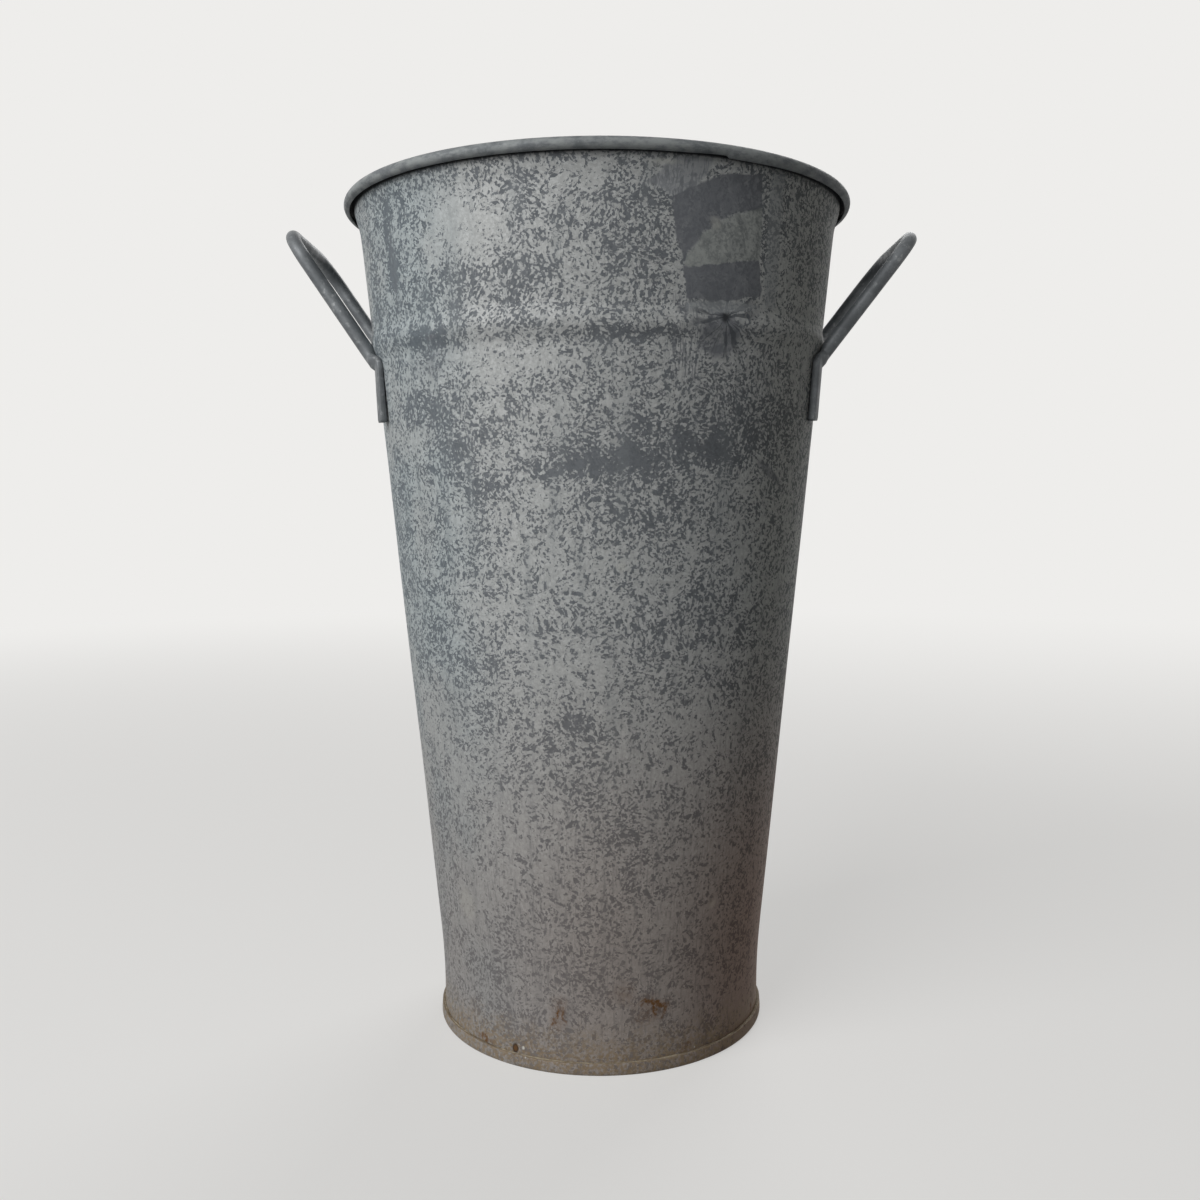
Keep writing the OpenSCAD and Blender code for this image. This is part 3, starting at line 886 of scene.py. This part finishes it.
class BUCKET_OT_handles(bpy.types.Operator):
    """Make the two rod handles with their flattened feet"""
    bl_idname = "bucket.handles"
    bl_label = "Make the handles"

    def execute(self, context):
        rod, sheet = context.scene.bucket_handles, context.scene.bucket_sheet
        material = zinc_rod("dark_galvanised_rod", context.scene.bucket_colours)
        for node_name, box, feet in (("left_handle", LEFT_BOX, LEFT_FEET),
                                     ("right_handle", RIGHT_BOX, RIGHT_FEET)):
            reach = max(abs(box[0].x), abs(box[1].x)) - rod.rod_radius
            bm = self.bent_rod(sheet, rod, reach, feet)
            if feet is LEFT_FEET:
                bmesh.ops.rotate(bm, verts=bm.verts, cent=(0, 0, 0), matrix=Matrix.Rotation(math.pi, 3, "Z"))
            finish_piece(node_name + "_rod", bm, [material], node_name)
        return {"FINISHED"}

    def bent_rod(self, sheet, rod, reach, feet):
        """One handle on the +X side, swept from foot to foot."""
        bend_z = sheet.height - rod.bend_drop
        bend_radius = wall_radius(sheet, bend_z, False) + rod.stand_off
        bend = Vector((math.sqrt(bend_radius ** 2 - rod.half_spacing ** 2), rod.half_spacing, bend_z))
        lean = math.asin((reach - bend.x) / rod.leg_length)
        top = bend + Vector((math.sin(lean), 0, math.cos(lean))) * rod.leg_length
        loop_out = Vector((math.cos(lean), 0, -math.sin(lean)))
        ends = []
        for z, (aside, thick, gap) in zip((bend_z - rod.foot_length, bend_z - 4 * MM), feet):
            away = wall_radius(sheet, z, False) + (gap + thick / 2 - 0.02) * MM
            ends.append(Vector((math.sqrt(away ** 2 - (aside * MM) ** 2), aside * MM, z)))
        corners = [*ends, bend, top]
        corners += [Vector((corner.x, -corner.y, corner.z)) for corner in reversed(corners)]
        radii = (2.5 * MM, 3.5 * MM, rod.corner_radius)
        path = self.rounded(corners, radii + radii[::-1])
        return self.tube(self.sections(rod, path, ends, [thick * MM / 2 for _, thick, _ in feet], loop_out))

    def sections(self, rod, path, ends, halves, loop_out):
        """The rod's outline at each point of its path: flat at the feet, and swelling to a round rod."""
        lengths = [0.0]
        for first, second in zip(path, path[1:]):
            lengths.append(lengths[-1] + (second - first).length)
        foot, ankle = ends
        knee = (ankle - foot).length
        foot_out = Vector((ankle.x + foot.x, ankle.y + foot.y, 0)).normalized()
        for i, (point, reached) in enumerate(zip(path, lengths)):
            before, after = path[max(0, i - 1)], path[min(len(path) - 1, i + 1)]
            tangent = (after - before).normalized()
            from_end = min(reached, lengths[-1] - reached)

            def past_knee(low, high):
                return smooth_step(knee + low * MM, knee + high * MM, from_end)

            outward = foot_out.copy()
            if reached > lengths[-1] / 2:
                outward.y = -outward.y
            outward = outward.lerp(loop_out, past_knee(-1, 9))
            outward = (outward - tangent * outward.dot(tangent)).normalized()
            across = tangent.cross(outward)
            half = blend(*halves, smooth_step(0, knee, from_end))
            # the outer side swells over a short shoulder, the inner side and the width over a longer one
            short, long = past_knee(0.6, 4.2), past_knee(3, 12)
            out_reach, in_reach = blend(half, rod.rod_radius, short), blend(half, rod.rod_radius, long)
            half_width = blend(rod.foot_width / 2, rod.rod_radius, long)
            power = 2 / blend(SQUARISH, ROUND, past_knee(-1, 6))
            shrink = 0.9 if i in (0, len(path) - 1) else 1.0
            outline = []
            for k in range(ROD_SIDES):
                u, v = (math.copysign(abs(value) ** power, value) * shrink
                        for value in (math.cos(TURN * k / ROD_SIDES), math.sin(TURN * k / ROD_SIDES)))
                reach = out_reach if v > 0 else in_reach
                outline.append(point + across * half_width * u + outward * reach * v)
            yield outline

    def tube(self, outlines):
        """A capped tube through outlines. An extruded corner keeps the place of the one it came from."""
        bm = bmesh.new()
        place = bm.verts.layers.int.new("place")
        ring = bmesh.ops.create_circle(bm, cap_ends=True, radius=1, segments=ROD_SIDES)["verts"]
        for k, vert in enumerate(ring):
            vert[place] = k
        edges = bm.edges[:]
        for i, outline in enumerate(outlines):
            if i:
                made = bmesh.ops.extrude_edge_only(bm, edges=edges)["geom"]
                ring = {item for item in made if isinstance(item, bmesh.types.BMVert)}
                edges = [item for item in made
                         if isinstance(item, bmesh.types.BMEdge) and ring.issuperset(item.verts)]
            for vert in ring:
                vert.co = outline[vert[place]]
        bmesh.ops.contextual_create(bm, geom=edges)
        bmesh.ops.recalc_face_normals(bm, faces=bm.faces)
        for face in bm.faces:
            face.smooth = len(face.verts) <= 4
        return bm

    def rounded(self, corners, radii):
        """Points along a bent line whose inner corners are rounded."""
        path = [corners[0]]
        for before, corner, after, radius in zip(corners, corners[1:], corners[2:], radii):
            arrive, leave = (corner - before).normalized(), (after - corner).normalized()
            bend = arrive.angle(leave)
            reach = radius * math.tan(bend / 2)
            start = corner - arrive * reach
            centre = corner + (leave - arrive).normalized() * (radius / math.cos(bend / 2))
            self.straight(path, start, 1.2 * MM if radius < 6 * MM else 3 * MM)
            axis = arrive.cross(leave).normalized()
            count = max(5, round(math.degrees(bend) / 6))
            path += [centre + Matrix.Rotation(bend * i / count, 3, axis) @ (start - centre)
                     for i in range(1, count + 1)]
        self.straight(path, corners[-1], 1.2 * MM)
        return path

    def straight(self, path, end, step):
        start = path[-1].copy()
        count = max(1, round((end - start).length / step))
        path.extend(start.lerp(end, i / count) for i in range(1, count + 1))


# Bearing and rise in degrees, distance and size in m, power in watts.
LIGHTS = {"key_light": (-43, 26, 1.9, 1.5, 30.5), "back_light": (158, 35, 2.2, 1.2, 17.0)}
AIM = Vector((0, 0, 0.19))  # the middle of the bucket
CAMERA_PLACE = Vector((0.00044, -0.54684, 0.24065))
LENS, SENSOR = 34.517, 36
PITCH, ROLL, YAW = 0.0805, -0.00508, math.radians(0.5)


class BUCKET_OT_stage(bpy.types.Operator):
    """Make the studio floor, the lights and the camera"""
    bl_idname = "bucket.stage"
    bl_label = "Make the stage"

    def execute(self, context):
        scene, colours = context.scene, context.scene.bucket_colours
        scene.view_settings.view_transform = "Standard"
        self.floor(scene, colours)
        self.world(scene, colours)
        for name, place in LIGHTS.items():
            self.lamp(scene, name, *place)
        self.camera(scene)
        return {"FINISHED"}

    def seen(self, tree):
        """1 for rays that show the stage itself, 0 for rays that carry its light on."""
        path = add(tree, "ShaderNodeLightPath")
        both = calc(tree, "MAXIMUM", path.outputs["Is Camera Ray"], path.outputs["Is Glossy Ray"])
        return calc(tree, "MAXIMUM", both, path.outputs["Is Transmission Ray"])

    def floor(self, scene, colours):
        material, tree = new_material("studio_floor")
        where = add(tree, "ShaderNodeTexCoord").outputs["Object"]
        far = on_vectors(tree, "LENGTH", where, result="Value")
        seen = self.seen(tree)
        plain = add(tree, "ShaderNodeBsdfPrincipled", {
            "Base Color": tint(tree, seen, paint("#787878"), opaque(colours.floor)), "Roughness": 0.9,
            "Specular IOR Level": 0.1})
        glow = add(tree, "ShaderNodeEmission", {"Color": opaque(colours.background), "Strength": 1.0})
        share = times(tree, seen, ramp_to(tree, far, 0.25, 2.2, 0.55, 1.0))
        mixed = add(tree, "ShaderNodeMixShader", {0: share, 1: plain.outputs[0], 2: glow.outputs[0]})
        add(tree, "ShaderNodeOutputMaterial", {"Surface": mixed.outputs[0]})
        bm = bmesh.new()
        bmesh.ops.create_circle(bm, cap_ends=True, radius=40, segments=96)
        mesh = bpy.data.meshes.new("studio_floor")
        bm.to_mesh(mesh)
        bm.free()
        mesh.materials.append(material)
        floor = bpy.data.objects.new("studio_floor", mesh)
        scene.collection.objects.link(floor)

    def world(self, scene, colours):
        world = bpy.data.worlds.new("studio")
        world.use_nodes = True
        tree = world.node_tree
        tree.nodes.clear()
        shade = tint(tree, self.seen(tree), (0.05, 0.05, 0.05, 1), opaque(colours.background))
        glow = add(tree, "ShaderNodeBackground", {"Color": shade, "Strength": 1.0})
        add(tree, "ShaderNodeOutputWorld", {"Surface": glow.outputs[0]})
        scene.world = world

    def lamp(self, scene, name, bearing, rise, distance, size, power):
        """A square soft light at a bearing from the front, aimed at the middle of the bucket."""
        light = bpy.data.lights.new(name, "AREA")
        light.shape, light.size, light.energy = "SQUARE", size, power
        lamp = bpy.data.objects.new(name, light)
        around, up = math.radians(bearing), math.radians(rise)
        toward = Vector((math.sin(around) * math.cos(up), -math.cos(around) * math.cos(up), math.sin(up)))
        lamp.location = AIM + toward * distance
        lamp.rotation_mode = "QUATERNION"
        lamp.rotation_quaternion = toward.to_track_quat("Z", "Y")
        lamp.visible_camera = False
        scene.collection.objects.link(lamp)

    def camera(self, scene):
        data = bpy.data.cameras.new("camera")
        data.sensor_width, data.lens = SENSOR, LENS
        camera = bpy.data.objects.new("camera", data)
        upright = Matrix.Rotation(math.pi / 2 - PITCH, 4, "X") @ Matrix.Rotation(ROLL, 4, "Z")
        camera.matrix_world = Matrix.Rotation(YAW, 4, "Z") @ Matrix.Translation(CAMERA_PLACE) @ upright
        scene.collection.objects.link(camera)
        scene.camera = camera


class BUCKET_PT_panel(bpy.types.Panel):
    """Lists the bucket's settings and pieces"""
    bl_idname = "BUCKET_PT_panel"
    bl_label = "Weathered Flower Bucket"
    bl_space_type = "VIEW_3D"
    bl_region_type = "UI"
    bl_category = "Bucket"

    def draw(self, context):
        layout, scene = self.layout, context.scene
        for operator in OPERATORS:
            layout.operator(operator.bl_idname)
        for title, group in (("Sheet", scene.bucket_sheet), ("Handles", scene.bucket_handles),
                             ("Colours", scene.bucket_colours)):
            box = layout.box()
            box.label(text=title)
            for name in group.__annotations__:
                box.prop(group, name)


SETTINGS = (("bucket_sheet", BucketSheetSettings), ("bucket_handles", BucketHandleSettings),
            ("bucket_colours", BucketColourSettings))
OPERATORS = (BUCKET_OT_wall, BUCKET_OT_floor_pan, BUCKET_OT_handles, BUCKET_OT_stage)


def register():
    for name, group in SETTINGS:
        bpy.utils.register_class(group)
        setattr(bpy.types.Scene, name, bpy.props.PointerProperty(type=group))
    for cls in (*OPERATORS, BUCKET_PT_panel):
        bpy.utils.register_class(cls)


def unregister():
    for cls in (BUCKET_PT_panel, *reversed(OPERATORS)):
        bpy.utils.unregister_class(cls)
    for name, group in reversed(SETTINGS):
        delattr(bpy.types.Scene, name)
        bpy.utils.unregister_class(group)


def main():
    register()
    bpy.ops.bucket.wall()
    bpy.ops.bucket.floor_pan()
    bpy.ops.bucket.handles()
    bpy.ops.bucket.stage()


if __name__ == "__main__":
    main()
